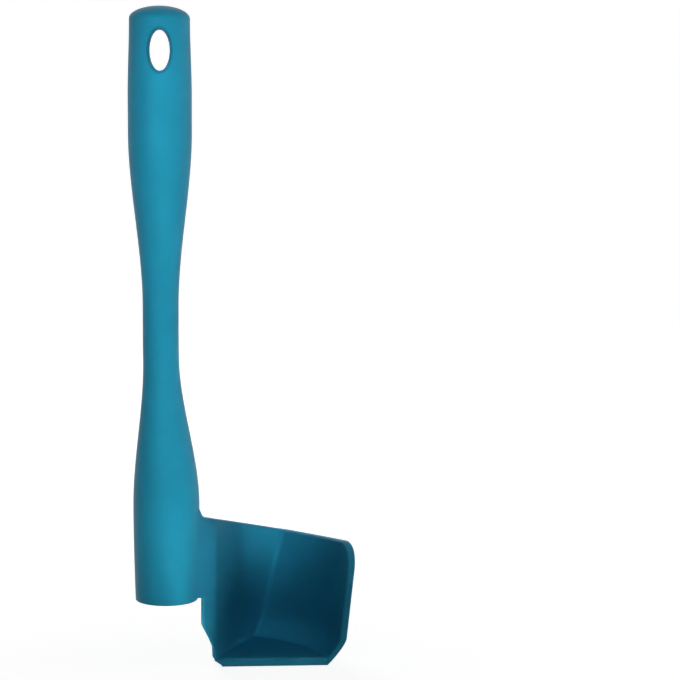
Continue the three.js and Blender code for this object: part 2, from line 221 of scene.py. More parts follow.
class CupSizes(bpy.types.PropertyGroup):
    """Sizes of the bearing cup inside the socket."""

    wall: length("Wall", 0.0019, "Wall thickness of the cup")
    roof: length("Roof", 0.0064, "Thickness above the seat")
    recess: length("Recess", 0.0008, "How far the cup stays above the mouth")
    draft: length("Draft", 0.0003, "How much wider the bore is at its mouth")
    gap: length("Gap", 0.0003, "Running gap round the cup")
    collar: length("Collar", 0.0011, "How far the collar stands out")
    collar_height: length("Collar height", 0.0034, "Height of the collar")
    partition: length("Partition", 0.0026, "Thickness between the socket and the hollow neck")
    edge: length("Edge radius", 0.0005, "Radius of the cup's edges")
    tint: colour("Dark petrol", (0.0110, 0.1441, 0.2307), "Colour of the cup")


class ScoopSizes(bpy.types.PropertyGroup):
    """Sizes of the scoop, in plan at the levels of its sole and its rim, and in height."""

    wall: length("Wall", 0.0034, "Thickness of the wall")
    root_angle: angle("Root angle", -40, "Direction from the axis to where the wall leaves the socket")
    root_proud: length("Root proud", 0.0001, "How far the wall's face stands out of the mouth's radius")
    root_run: length("Root run", 0.016, "Straight run before the fold")
    fold: length("Fold radius", 0.008, "Radius of the fold")
    sole_lean: angle("Sole lean", 72, "Heading of the back wall after the fold, at the sole")
    rim_lean: angle("Rim lean", 64, "Heading of the back wall after the fold, at the rim")
    sole_bulge: length("Sole bulge", 0.180, "Radius of the back wall at the sole")
    rim_bulge: length("Rim bulge", 0.082, "Radius of the back wall at the rim")
    sole_corner: length("Sole corner", 0.004, "Radius of the corner at the sole")
    rim_corner: length("Rim corner", 0.005, "Radius of the corner at the rim")
    sole_sweep: length("Sole sweep", 0.0618, "Radius of the outer wall at the sole")
    rim_sweep: length("Rim sweep", 0.0756, "Radius of the outer wall at the rim")
    sole_reach: length("Sole reach", 0.0753, "Distance of the outer wall's end from the axis, at the sole")
    rim_reach: length("Rim reach", 0.0828, "Distance of the outer wall's end from the axis, at the rim")
    mouth_heading: angle("Mouth heading", -78, "Heading of the outer wall at its end")
    lip_y: length("Lip", 0.004, "Place of the lip along Y")
    sole_drop: length("Sole drop", 0.0315, "Depth of the sole below the mouth of the socket")
    floor: length("Floor", 0.0038, "Thickness of the floor")
    rim_height: length("Rim height", 0.0361, "Height of the rim at the socket")
    rim_fall: number("Rim fall", 0.187, "Fall of the rim along X and along Y")
    foot_inset: length("Foot inset", 0.007, "How far the foot of the outer wall is drawn in")
    foot_rise: length("Foot rise", 0.0115, "Height over which the foot is drawn in")
    rim_round: length("Rim round", 0.0125, "Radius at the front end of the rim")
    root_fillet: length("Root fillet", 0.0030, "Width of the fillet between the rim and the socket")
    root_rise: length("Root rise", 0.0038, "Height of the fillet between the rim and the socket")
    notch_gap: length("Notch gap", 0.0009, "Gap between the socket and the free edge below it, along X")
    notch_drop: length("Notch drop", 0.0115, "Length of the upright free edge")
    notch_in: length("Notch in", 0.0050, "Step of the free edge towards the lip")
    notch_run: length("Notch run", 0.0115, "Height of that step")
    heel_in: length("Heel in", 0.0002, "Slant of the heel")
    heel: length("Heel", 0.0042, "Height of the heel's round")
    heel_run: length("Heel run", 0.0034, "Width of the heel's round")
    edge: length("Edge radius", 0.0009, "Radius of the free edges")
    inner_fillet: length("Inner fillet", 0.0025, "Size of the fillet between the wall and the floor")
    outer_fillet: length("Outer fillet", 0.0011, "Size of the round between the wall and the sole")
    sunk: length("Sunk", 0.00015, "How far the welded root lies inside the socket's skin")
    tint: colour("Petrol", (0.0210, 0.2400, 0.3950), "Colour of the scoop")


class StageSettings(bpy.types.PropertyGroup):
    """Camera, lights and floor."""

    eye: FloatVectorProperty(name="Eye", description="Place of the camera", size=3, precision=5,
                             default=(-0.0004, -0.953, 0.2293), unit="LENGTH", subtype="TRANSLATION")
    yaw: angle("Yaw", 4.46, "Turn of the camera towards X")
    pitch: angle("Pitch", -7.016, "Tilt of the camera")
    roll: angle("Roll", 0.312, "Roll of the camera")
    lens: number("Lens", 119.8, "Focal length in millimetres")
    right: power("Right light", 2.4, "Power of the soft light on the right")
    left: power("Left light", 0.6, "Power of the soft light on the left")
    front_right: power("Front right light", 0.95, "Power of the soft light in front, to the right")
    front_left: power("Front left light", 0.9, "Power of the soft light in front, to the left")
    grip: power("Grip light", 0.0036, "Power of the gridded light on the grip")
    neck: power("Neck light", 0.0140, "Power of the tall gridded light in front of the handle")
    flank: power("Flank light", 0.006, "Power of the tall gridded light beside the handle")
    socket: power("Socket light", 0.0008, "Power of the gridded light on the socket")
    pocket: power("Pocket light", 0.0024, "Power of the gridded light on the crease of the scoop")
    heel: power("Heel light", 0.0006, "Power of the gridded light on the strip beside the socket")
    lip: power("Lip light", 0.0003, "Power of the gridded light on the lip")
    back: power("Back light", 3.2, "Power of the soft light behind")
    fill: number("Fill", 0.01, "Strength of the light from all round")
    glow: length("Glow", 0.5, "Radius of the floor round the foot where the shadow shows")
    ground: colour("Ground", (0.30, 0.30, 0.30), "Colour of the floor as the light sees it")


class SpatulaSettings(bpy.types.PropertyGroup):
    """All sizes and colours."""

    handle: PointerProperty(type=HandleSizes)
    eyelet: PointerProperty(type=EyeletSizes)
    cup: PointerProperty(type=CupSizes)
    scoop: PointerProperty(type=ScoopSizes)
    stage: PointerProperty(type=StageSettings)


def ease(value, low, high):
    """A smooth step from 0 at the low end to 1 at the high end."""
    t = np.clip((value - low) / (high - low), 0.0, 1.0)
    return t * t * (3.0 - 2.0 * t)


def mix(a, b, t):
    """Linear mix of two values."""
    return a + (b - a) * t


def levels(h):
    """Heights where the zones of the handle end."""
    neck = h.socket_length
    waist = neck + h.neck_length
    flank = waist + h.waist_length
    grip = flank + h.flank_length
    crown = grip + h.grip_length
    dome = crown + h.crown_length
    return SimpleNamespace(neck=neck, waist=waist, flank=flank, grip=grip, crown=crown, dome=dome)


def handle_radius(h, z):
    """Radius at a height: a quarter sine swells the socket, then smooth steps narrow, widen and close it."""
    at = levels(h)
    r = mix(h.mouth, h.socket, np.sin(0.5 * np.pi * np.clip(z / at.neck, 0.0, 1.0)))
    r = mix(r, h.waist, ease(z, at.neck, at.waist))
    r = mix(r, h.grip, ease(z, at.flank, at.grip))
    return mix(r, h.crown, ease(z, at.crown, at.dome))


def handle_shift(h, z):
    """Sideways place of the handle's centre line."""
    return -h.crank * ease(z, h.socket_length, h.socket_length + h.crank_length)


def quads(index):
    """Faces of a grid of vertex numbers."""
    return np.stack([index[:-1, :-1], index[1:, :-1], index[1:, 1:], index[:-1, 1:]], axis=-1).reshape(-1, 4)


def strip(a, b):
    """Faces between two rows of vertex numbers."""
    return quads(np.stack([a, b]))


def add_piece(name, points, faces, wear):
    """Makes a closed mesh object from points, faces and the wear of each point.

    Poles and seams are merged, and faces point outward.
    """
    mesh = bpy.data.meshes.new(name)
    mesh.from_pydata(points.tolist(), [], faces.tolist())
    layer = mesh.attributes.new("wear", "FLOAT", "POINT")
    layer.data.foreach_set("value", np.asarray(wear, dtype=np.float32).ravel())
    shape = bmesh.new()
    shape.from_mesh(mesh)
    bmesh.ops.remove_doubles(shape, verts=shape.verts, dist=MERGE)
    bmesh.ops.dissolve_degenerate(shape, edges=shape.edges, dist=SLIVER)
    bmesh.ops.recalc_face_normals(shape, faces=shape.faces)
    if shape.calc_volume(signed=True) < 0.0:
        bmesh.ops.reverse_faces(shape, faces=shape.faces)
    shape.to_mesh(mesh)
    shape.free()
    mesh.polygons.foreach_set("use_smooth", np.ones(len(mesh.polygons), dtype=bool))
    mesh.set_sharp_from_angle(angle=SHARP)
    mesh.update()
    piece = bpy.data.objects.new(name, mesh)
    bpy.context.scene.collection.objects.link(piece)
    return piece


def handle_rows(h, e, c):
    """Paired outer and inner profiles of the handle, row by row, and the row of the hanging hole's centre.

    The outside runs from the mouth's rounded lip to the pole of the dome. The inside follows the bore, its
    groove, the partition, the hollow neck, the solid waist and the hollow grip. Solid parts lie on the axis.
    """
    at = levels(h)
    bore = h.mouth - h.socket_wall
    groove = bore + c.collar
    cup_top = h.socket_length - c.partition - c.gap
    low, high = cup_top - c.collar_height - c.gap, cup_top + c.gap
    neck_end = mix(at.neck, at.waist, NECK_HOLLOW)
    grip_start = mix(at.flank, at.grip, GRIP_HOLLOW)
    solid_low, solid_high = neck_end + h.wall, grip_start - h.wall
    eye = at.dome - e.drop
    block_low, block_high = eye - HOLE_REACH, eye + HOLE_REACH
    a = np.linspace(-0.5 * np.pi, 0.0, LIP_ROWS)
    rows = [(h.mouth - h.lip + h.lip * np.cos(a), h.lip + h.lip * np.sin(a),
             bore + h.lip - h.lip * np.cos(a), h.lip + h.lip * np.sin(a))]

    def zone(outer_z, inner_r, inner_z):
        rows.append((handle_radius(h, outer_z), outer_z, inner_r, inner_z))

    inner_z = np.r_[np.linspace(h.lip, low, BORE_ROWS + 1)[1:], low, high, high, at.neck]
    zone(np.linspace(h.lip, at.neck, len(inner_z) + 1)[1:],
         np.r_[np.full(BORE_ROWS, bore), groove, groove, 0.0, 0.0], inner_z)
    z = np.linspace(at.neck, neck_end, NECK_ROWS)
    zone(np.linspace(at.neck, solid_low, NECK_ROWS + 2)[1:],
         np.r_[handle_radius(h, z) - h.wall, 0.0], np.r_[z, solid_low])
    z = np.linspace(solid_low, solid_high, WAIST_ROWS + 1)[1:]
    zone(z, np.zeros(WAIST_ROWS), z)
    z = np.linspace(grip_start, block_low, GRIP_ROWS)
    zone(np.linspace(solid_high, block_low, GRIP_ROWS + 1)[1:], handle_radius(h, z) - h.wall, z)
    z = np.linspace(block_low, block_high, 2 * HOLE_CELLS + 1)[1:]
    zone(z, handle_radius(h, z) - h.wall, z)
    z = np.array([at.dome])
    zone(z, handle_radius(h, z) - h.wall, z)
    a = np.linspace(0.0, 0.5 * np.pi, DOME_ROWS + 1)[1:]
    flat = np.cos(a)
    flat[-1] = 0.0
    rows.append((h.crown * flat, at.dome + h.dome * np.sin(a),
                 (h.crown - h.wall) * flat, at.dome + (h.dome - h.wall) * np.sin(a)))
    outer_r, outer_z, inner_r, inner_z = (np.concatenate(column) for column in zip(*rows))
    return SimpleNamespace(outer_r=outer_r, outer_z=outer_z, inner_r=inner_r, inner_z=inner_z, eye=eye,
                           middle=np.argmin(np.abs(outer_z - eye)))


def handle_half(h, e, c, facing):
    """One shell of the handle, facing -1 for the front and +1 for the back.

    A point is (shift + r cos t, facing r sin t, z), with t from 0 to 180 degrees and r, z on the profiles.
    Round the hanging hole the rings of a square block of the grid are eased into an ellipse, in t and z,
    so every vertex stays on the surface. The inner rings are left out and the two hole edges are joined.
    """
    n, k = HOLE_CELLS, HOLE_RINGS
    rows = handle_rows(h, e, c)
    ends = np.r_[PARTING_TURNS, np.linspace(SIDE_START, 0.25 * np.pi, SIDE_COLUMNS + 1)[:-1]]
    block = np.linspace(0.25 * np.pi, 0.75 * np.pi, 2 * n + 1)
    turn = np.r_[ends, block, np.pi - ends[::-1]]
    centre = len(ends) + n
    i, j = np.meshgrid(np.arange(-n, n + 1), np.arange(-n, n + 1), indexing="ij")
    ring = np.maximum(np.abs(i), np.abs(j))
    flat = np.abs(i) >= np.abs(j)
    with np.errstate(divide="ignore", invalid="ignore"):
        on_sides = 0.25 * np.pi * j / i + np.pi * (i < 0)
        on_ends = 0.5 * np.pi - 0.25 * np.pi * i / j + np.pi * (j < 0)
    phi = np.nan_to_num(np.where(flat, on_sides, on_ends))
    grow = e.wall + e.gap
    side = -(e.half_width + grow) * np.cos(phi)
    tall = rows.eye + (e.half_height + grow) * np.sin(phi)
    blend = np.clip((ring - k) / (n - k), 0.0, 1.0)
    inside = (slice(centre - n, centre + n + 1), slice(rows.middle - n, rows.middle + n + 1))
    sheets = []
    for r, z, inset in ((rows.outer_r, rows.outer_z, 0.0), (rows.inner_r, rows.inner_z, h.wall)):
        grid_t, grid_z = np.meshgrid(turn, z, indexing="ij")
        grid_r = np.broadcast_to(r, grid_t.shape).copy()
        hole_t = np.arccos(np.clip(side / (handle_radius(h, tall) - inset), -1.0, 1.0))
        grid_t[inside] = mix(hole_t, grid_t[inside], blend)
        grid_z[inside] = mix(tall, grid_z[inside], blend)
        grid_r[inside] = handle_radius(h, grid_z[inside]) - inset
        if inset == 0.0:
            away = np.clip(grid_r * np.sin(grid_t), 0.0, h.parting)
            dip = h.parting - np.sqrt(h.parting ** 2 - (h.parting - away) ** 2)
            grid_r = grid_r - dip * np.clip(grid_r / POLE_FADE, 0.0, 1.0)
        x = handle_shift(h, grid_z) + grid_r * np.cos(grid_t)
        sheets.append(np.stack([x, facing * grid_r * np.sin(grid_t), grid_z], axis=-1))
    shape = sheets[0].shape[:2]
    index = np.arange(2 * shape[0] * shape[1]).reshape(2, *shape)
    cell_i, cell_j = np.meshgrid(np.arange(shape[0] - 1) - centre, np.arange(shape[1] - 1) - rows.middle,
                                 indexing="ij")
    solid = ~((cell_i >= -k) & (cell_i < k) & (cell_j >= -k) & (cell_j < k)).ravel()
    walk = np.arange(-k, k)
    rim_i = np.r_[walk, np.full(2 * k, k), -walk, np.full(2 * k, -k), -k] + centre
    rim_j = np.r_[np.full(2 * k, -k), walk, np.full(2 * k, k), -walk, -k] + rows.middle
    faces = np.concatenate([
        quads(index[0])[solid], quads(index[1])[solid][:, ::-1],
        strip(index[1, 0], index[0, 0]), strip(index[0, -1], index[1, -1]),
        strip(index[0, :, 0], index[1, :, 0]), strip(index[1, :, -1], index[0, :, -1]),
        strip(index[1, rim_i, rim_j], index[0, rim_i, rim_j]),
    ])
    used = np.zeros(index.size, dtype=bool)
    used[faces.ravel()] = True
    number_of = np.cumsum(used) - 1
    points = np.concatenate([s.reshape(-1, 3) for s in sheets])
    low = np.exp(-np.abs(points[:, 2]) / MOUTH_WEAR)
    high = np.exp(-np.abs(levels(h).dome + h.dome - points[:, 2]) / DOME_WEAR)
    wear = np.clip(low + 0.5 * high, 0.0, 1.0)
    return points[used], number_of[faces], wear[used]


def eyelet_sleeve(h, e):
    """The sleeve: an ellipse carried round a closed section, whose ends follow the outside of the handle.

    A point lies on the ellipse grown by a part of the section, at plus or minus the handle's own depth
    there, less a small lip radius. The straight opening and the hidden collar lie at fixed depths.
    """
    eye = levels(h).dome - e.drop
    a = np.linspace(0.0, 0.5 * np.pi, EYELET_LIP_ROWS)
    lip_g, lip_y = e.lip * (1.0 - np.sin(a)), e.lip * (1.0 - np.cos(a))
    half = e.collar_length / 2
    outer, end = e.wall + e.collar, e.wall * EYELET_END
    lip, run = np.ones(EYELET_LIP_ROWS), np.zeros(EYELET_RUN_ROWS)
    deep = EYELET_RUN * np.linspace(1.0, -1.0, EYELET_RUN_ROWS + 2)[1:-1]
    grow = np.r_[e.wall, e.wall, outer, outer, e.wall, e.wall, end, lip_g, run, lip_g[::-1], end]
    sign = np.r_[-1, 0, 0, 0, 0, 1, 1, lip, run, -lip, -1]
    less = np.r_[0, 0, 0, 0, 0, 0, 0, lip_y, run, lip_y[::-1], 0]
    fixed = np.r_[0, -half, -half, half, half, 0, 0, 0.0 * lip, deep, 0.0 * lip, 0]
    phi = np.linspace(0.0, 2.0 * np.pi, TURN_STEPS + 1)[:-1, None]
    x = (e.half_width + grow) * np.cos(phi)
    z = eye + (e.half_height + grow) * np.sin(phi)
    depth = np.sqrt(np.maximum(handle_radius(h, z) ** 2 - x ** 2, 0.0))
    y = sign * (depth - less) + fixed
    points = np.stack([x + handle_shift(h, eye), y, z], axis=-1)
    index = np.pad(np.arange(x.size).reshape(x.shape), (0, 1), mode="wrap")
    wear = np.broadcast_to(np.where((grow < e.wall) & (grow > 0.0), 1.0, 0.0), x.shape)
    return points.reshape(-1, 3), quads(index), wear.ravel()


def parabola(a, b, c, t):
    """A short parabola from a to c, drawn towards b."""
    return (1 - t) ** 2 * a + 2 * t * (1 - t) * b + t ** 2 * c


def soften(points, radius, steps):
    """Rounds the inner corners of an open line of points with short parabolas."""
    points = np.asarray(points, dtype=float)
    before, corner, after = points[:-2], points[1:-1], points[2:]
    back, ahead = before - corner, after - corner
    far = [np.linalg.norm(v, axis=1, keepdims=True) for v in (back, ahead)]
    start = corner + back / far[0] * np.minimum(radius, CORNER_SHARE * far[0])
    end = corner + ahead / far[1] * np.minimum(radius, CORNER_SHARE * far[1])
    t = np.linspace(0.0, 1.0, steps)[None, :, None]
    arc = parabola(start[:, None], corner[:, None], end[:, None], t)
    return np.concatenate([points[:1], arc.reshape(-1, 2), points[-1:]])


def cup_body(h, c):
    """The bearing cup: a softened profile of radius and height, turned about the axis from pole to pole."""
    outer = h.mouth - h.socket_wall - c.gap
    seat_r = outer - c.wall
    top = h.socket_length - c.partition - c.gap
    seat = top - c.roof
    shelf = top - c.collar_height
    line = soften([
        (0.0, seat), (seat_r, seat), (seat_r + c.draft, c.recess), (outer, c.recess), (outer, shelf),
        (outer + c.collar, shelf), (outer + c.collar, top), (0.0, top),
    ], c.edge, SOFT_POINTS)
    turn = np.linspace(0.0, 2.0 * np.pi, TURN_STEPS + 1)[:-1, None]
    x, y, z = np.broadcast_arrays(line[:, 0] * np.cos(turn), line[:, 0] * np.sin(turn), line[:, 1])
    points = np.stack([x, y, z], axis=-1)
    index = np.pad(np.arange(z.size).reshape(z.shape), ((0, 1), (0, 0)), mode="wrap")
    wear = np.exp(-np.abs(z - c.recess) / CUP_WEAR)
    return points.reshape(-1, 3), quads(index), wear.ravel()


def plan_at(s, z):
    """The wall's plan at heights: its root, its first heading, its radii and the lengths of its parts.

    The bulge, the corner and the sweep are circles that touch from inside, so the corner's centre is the far
    crossing of two circles about the other two centres.
    """
    sole = -s.sole_drop
    level = (z - sole) / (s.rim_height + s.root_rise - sole)
    inset = s.foot_inset * np.clip(1.0 - (z - sole) / s.foot_rise, 0.0, 1.0) ** FOOT_CURVE
    lean = mix(s.sole_lean, s.rim_lean, level)
    bulge = mix(s.sole_bulge, s.rim_bulge, level)
    corner = mix(s.sole_corner, s.rim_corner, level)
    sweep = mix(s.sole_sweep, s.rim_sweep, level) - inset
    reach = mix(s.sole_reach, s.rim_reach, level) - inset
    start, end = s.root_angle + 0.5 * np.pi, s.mouth_heading
    root = s.away * np.array([np.cos(s.root_angle), np.sin(s.root_angle)])
    fold_x = root[0] + s.root_run * np.cos(start) + s.fold * (np.sin(lean) - np.sin(start))
    fold_y = root[1] + s.root_run * np.sin(start) + s.fold * (np.cos(start) - np.cos(lean))
    bulge_x, bulge_y = fold_x + bulge * np.sin(lean), fold_y - bulge * np.cos(lean)
    sweep_x, sweep_y = reach + sweep * np.sin(end), s.lip_y - sweep * np.cos(end)
    gap = np.hypot(sweep_x - bulge_x, sweep_y - bulge_y)
    ax, ay = (sweep_x - bulge_x) / gap, (sweep_y - bulge_y) / gap
    along = (gap ** 2 + (bulge - corner) ** 2 - (sweep - corner) ** 2) / (2.0 * gap)
    aside = np.sqrt((bulge - corner) ** 2 - along ** 2)
    corner_x, corner_y = bulge_x + along * ax + aside * ay, bulge_y + along * ay - aside * ax
    enter = np.arctan2(corner_y - bulge_y, corner_x - bulge_x) - 0.5 * np.pi
    leave = np.arctan2(corner_y - sweep_y, corner_x - sweep_x) - 0.5 * np.pi
    runs = [s.root_run + 0.0 * z, s.fold * (lean - start), bulge * (lean - enter),
            corner * (enter - leave), sweep * (leave - end)]
    corner_start = runs[0] + runs[1] + runs[2]
    return SimpleNamespace(root=root, start=start, bulge=bulge, corner=corner, sweep=sweep, runs=runs,
                           corner_start=corner_start, corner_end=corner_start + runs[3], total=sum(runs))


def plan_point(s, z, dist):
    """Place and heading on the wall's middle line at a height and a distance from its root.

    The line is a run and four arcs. An arc adds its radius times the change of its heading's sine and cosine.
    """
    p = plan_at(s, z)
    left = dist
    parts = []
    for run in p.runs[:-1]:
        parts.append(np.clip(left, 0.0, run))
        left = left - run
    parts.append(np.maximum(left, 0.0))
    parts[0] = np.minimum(dist, p.runs[0])
    x = p.root[0] + parts[0] * np.cos(p.start)
    y = p.root[1] + parts[0] * np.sin(p.start)
    heading = p.start + parts[1] / s.fold
    x = x + s.fold * (np.sin(heading) - np.sin(p.start))
    y = y + s.fold * (np.cos(p.start) - np.cos(heading))
    for part, radius in zip(parts[2:], (p.bulge, p.corner, p.sweep)):
        turned = heading - part / radius
        x = x + radius * (np.sin(heading) - np.sin(turned))
        y = y + radius * (np.cos(turned) - np.cos(heading))
        heading = turned
    return x, y, heading, p


def free_edge(s, z):
    """Place along X of the free edge under the socket: an upright, a slant, a short upright and a round."""
    sole = -s.sole_drop
    edge = s.socket + s.notch_gap
    heel = edge + s.notch_in + s.heel_in
    t = np.linspace(0.0, 1.0, HEEL_POINTS)
    curve_z = sole + s.edge + s.heel * (1.0 - t) ** 2
    curve_x = heel + s.heel_run * t ** 2
    line_z = np.r_[curve_z[::-1], -s.notch_drop - s.notch_run, -s.notch_drop, FAR_UP]
    line_x = np.r_[curve_x[::-1], edge + s.notch_in, edge, edge]
    return np.interp(z, line_z, line_x)


def rounded(d, r, half):
    """Half thickness at a distance from a free edge with an edge radius."""
    inner = np.clip(r - d, 0.0, r)
    return half - r + np.sqrt(r ** 2 - inner ** 2)


def spaced(a, b, count):
    """Even steps from a to b, without a itself."""
    return mix(a, b, np.linspace(0.0, 1.0, count + 1)[1:])


def seated(z):
    """How far the wall has passed from its free edge, 0, to the socket's skin, 1."""
    return ease(z, SEAT_LOW, SEAT_HIGH)


def notch_table(s, side):
    """Heights, and at each the distance along the plan where one face of the wall meets the free edge.

    The face's place along X is worked out on a grid of heights and distances, and the first step past the
    free edge is divided in proportion.
    """
    z = np.linspace(-s.sole_drop - MARGIN, s.rim_height + s.root_rise + MARGIN, TABLE_ROWS)
    dist = np.linspace(*TABLE_RUN, TABLE_STEPS)
    x, _, heading, _ = plan_point(s, z[:, None], dist[None, :])
    half = s.wall / 2 - s.edge * (1.0 - seated(z))
    face_x = x - side * half[:, None] * np.sin(heading)
    wanted = free_edge(s, z)
    row = np.arange(TABLE_ROWS)
    first = np.argmax(face_x > wanted[:, None], axis=1).clip(1)
    a, b = face_x[row, first - 1], face_x[row, first]
    return z, dist[first - 1] + (wanted - a) / (b - a) * (dist[1] - dist[0])


def rim_plane(s, x, y):
    """Height of the rim over a place in plan: a falling plane, with a fillet that rises to the socket."""
    away = np.clip((np.hypot(x, y) - s.socket) / s.root_fillet, 0.0, 1.0)
    rise = s.root_rise * (1.0 - np.sqrt(away)) ** 2
    return s.rim_height - s.rim_fall * (x - s.socket + y) + rise


def scoop_sheet(s, h, side):
    """One face of the scoop, side +1 for the outside and -1 for the pocket, as a grid of columns and rows.

    Columns follow the plan line from the socket or the free edge to the front end. Rows run down the wall
    from the rim, round a short parabola at the foot, and along the floor to the lip. The face lies half a
    thickness off the middle, less a quarter-round within the edge radius of each free edge. Returns places
    and edge distances.
    """
    sole = -s.sole_drop
    half, r = s.wall / 2, s.edge
    mid_floor = sole + s.floor / 2
    notch = notch_table(s, side)

    def start_at(z, off):
        """Distance along the plan at which a column starts."""
        skin = handle_radius(h, np.maximum(z, 0.0)) - s.sunk
        on_socket = np.sqrt(np.maximum(skin ** 2 - (s.away - side * off) ** 2, 0.0))
        return mix(np.interp(z, *notch), on_socket, seated(z))

    # Columns: a quarter-round at the start, then shares of the back wall, the corner and the outer wall, and
    # distances from the front end.
    quarter = 1.0 - np.cos(np.linspace(0.0, 0.5 * np.pi, EDGE_POINTS))
    tail = FRONT_RUN * (1.0 - np.cos(spaced(0.5 * np.pi, 0.0, FRONT_COLUMNS)))
    columns = (EDGE_POINTS, BACK_COLUMNS, CORNER_COLUMNS, OUTER_COLUMNS, FRONT_COLUMNS)
    shares = [spaced(0.0, 1.0, count) for count in columns[1:-1]]
    stretch = np.repeat(np.arange(len(columns)), columns)[:, None]
    part = np.concatenate([quarter * r, *shares, tail])[:, None]

    def dist_at(z, off):
        """Distance along the plan of each column."""
        p = plan_at(s, z)
        begin = start_at(z, off)
        return np.select([stretch == number for number in range(len(columns))], [
            begin + part, mix(begin + r, p.corner_start, part), mix(p.corner_start, p.corner_end, part),
            mix(p.corner_end, p.total - FRONT_RUN, part), p.total - part,
        ])

    def wall(z):
        """Middle of the wall, its heading, the distances to a free edge and to the front, and the offset."""
        off = half
        for _ in range(PASSES):
            d = dist_at(z, off)
            x, y, heading, p = plan_point(s, z, d)
            below = rim_plane(s, x, y) - z
            to_front = p.total - d
            big = s.rim_round
            corner = big - np.hypot(np.clip(big - to_front, 0.0, None), np.clip(big - below, 0.0, None))
            near = np.where((to_front < big) & (below < big), corner, np.minimum(to_front, below))
            near = np.maximum(np.minimum(near, d - start_at(z, off) + WELDED * seated(z)), 0.0)
            off = rounded(near, r, half)
        return x, y, heading, near, to_front, off

    def face(z):
        """Place in plan of the face, and its distance to a free edge."""
        x, y, heading, near, _, off = wall(z)
        return x - side * off * np.sin(heading), y + side * off * np.cos(heading), near

    # Height of the rim in each column, with the round at its front end.
    top = np.full_like(part, s.rim_height * RIM_START)
    for _ in range(RIM_PASSES):
        x, y, _, _, to_front, _ = wall(top)
        top = rim_plane(s, x, y) + rounded(to_front, s.rim_round, 0.0)

    def floor_level(to_lip, to_heel):
        """Height of the floor's face at distances from its free edges."""
        return mid_floor - side * rounded(np.minimum(to_lip, to_heel), r, s.floor / 2)

    # The foot of each column, and the place on the lip to which its row runs along the floor.
    level = np.full_like(part, mid_floor - side * s.floor / 2)
    for _ in range(PASSES):
        foot_x, foot_y, _ = face(level)
        ahead = np.maximum(foot_y - s.lip_y, 0.0)
        first_ahead = np.argmax(ahead[:, 0] > 0.0)
        lip_x0 = foot_x[first_ahead, 0]
        step = np.hypot(np.diff(foot_x[:, 0]), np.diff(foot_y[:, 0]))
        track = np.r_[0.0, np.cumsum(step)]
        share = np.clip((track - track[first_ahead]) / (track[-1] - track[first_ahead]), 0.0, 1.0)
        lip_x = np.where(ahead[:, 0] > 0.0, mix(lip_x0, foot_x[-1, 0], share), foot_x[:, 0])[:, None]
        lip_y = np.where(ahead > 0.0, s.lip_y, foot_y)
        length_on_floor = np.hypot(lip_x - foot_x, lip_y - foot_y)
        from_left = np.maximum(foot_x - foot_x[0], 0.0)
        level = floor_level(length_on_floor, from_left)
    bend = np.minimum(s.inner_fillet if side < 0 else s.outer_fillet, CORNER_SHARE * length_on_floor)

    # Rows down the wall.
    low = level + bend
    first_rows = top - quarter * r
    shoulder = top - r
    foot_top = sole + s.foot_rise + MARGIN
    z = np.concatenate([
        first_rows, spaced(shoulder, LEDGE_HIGH, RIM_ROWS),
        spaced(LEDGE_HIGH, LEDGE_LOW, LEDGE_ROWS) + 0.0 * top,
        spaced(LEDGE_LOW, foot_top, WALL_ROWS) + 0.0 * top, spaced(foot_top, low, FOOT_ROWS),
    ], axis=1)
    x, y, near = face(z)

    # Rows round the foot and along the floor.
    has_floor = length_on_floor > 0.0
    toward_x = np.divide(lip_x - foot_x, length_on_floor, out=np.zeros_like(foot_x), where=has_floor)
    toward_y = np.divide(lip_y - foot_y, length_on_floor, out=np.zeros_like(foot_x), where=has_floor)
    t = spaced(0.0, 1.0, BEND_ROWS)
    end_x, end_y = foot_x + bend * toward_x, foot_y + bend * toward_y
    bend_x = parabola(x[:, -1:], foot_x, end_x, t)
    bend_y = parabola(y[:, -1:], foot_y, end_y, t)
    bend_z = parabola(z[:, -1:], level, level, t)
    rest = np.maximum(length_on_floor - bend, 0.0)
    last = np.minimum(r, 0.5 * rest)
    along = spaced(0.0, 1.0, FLOOR_ROWS) * (rest - last)
    run = np.concatenate([along, rest - last * quarter[::-1][1:]], axis=1)
    floor_x, floor_y = end_x + run * toward_x, end_y + run * toward_y
    left_edge = mix(foot_x[0], lip_x[0], np.clip(run / np.maximum(rest, TINY), 0.0, 1.0))
    to_heel = np.maximum(floor_x - left_edge, 0.0)
    floor_near = np.minimum(rest - run, to_heel)
    floor_z = floor_level(rest - run, to_heel)
    grid_x = np.concatenate([x, bend_x, floor_x], axis=1)
    grid_y = np.concatenate([y, bend_y, floor_y], axis=1)
    grid_z = np.concatenate([z, bend_z, floor_z], axis=1)
    bend_near = np.broadcast_to(np.minimum(near[:, -1:], rest), bend_x.shape)
    return np.stack([grid_x, grid_y, grid_z], axis=-1), np.concatenate([near, bend_near, floor_near], axis=1)


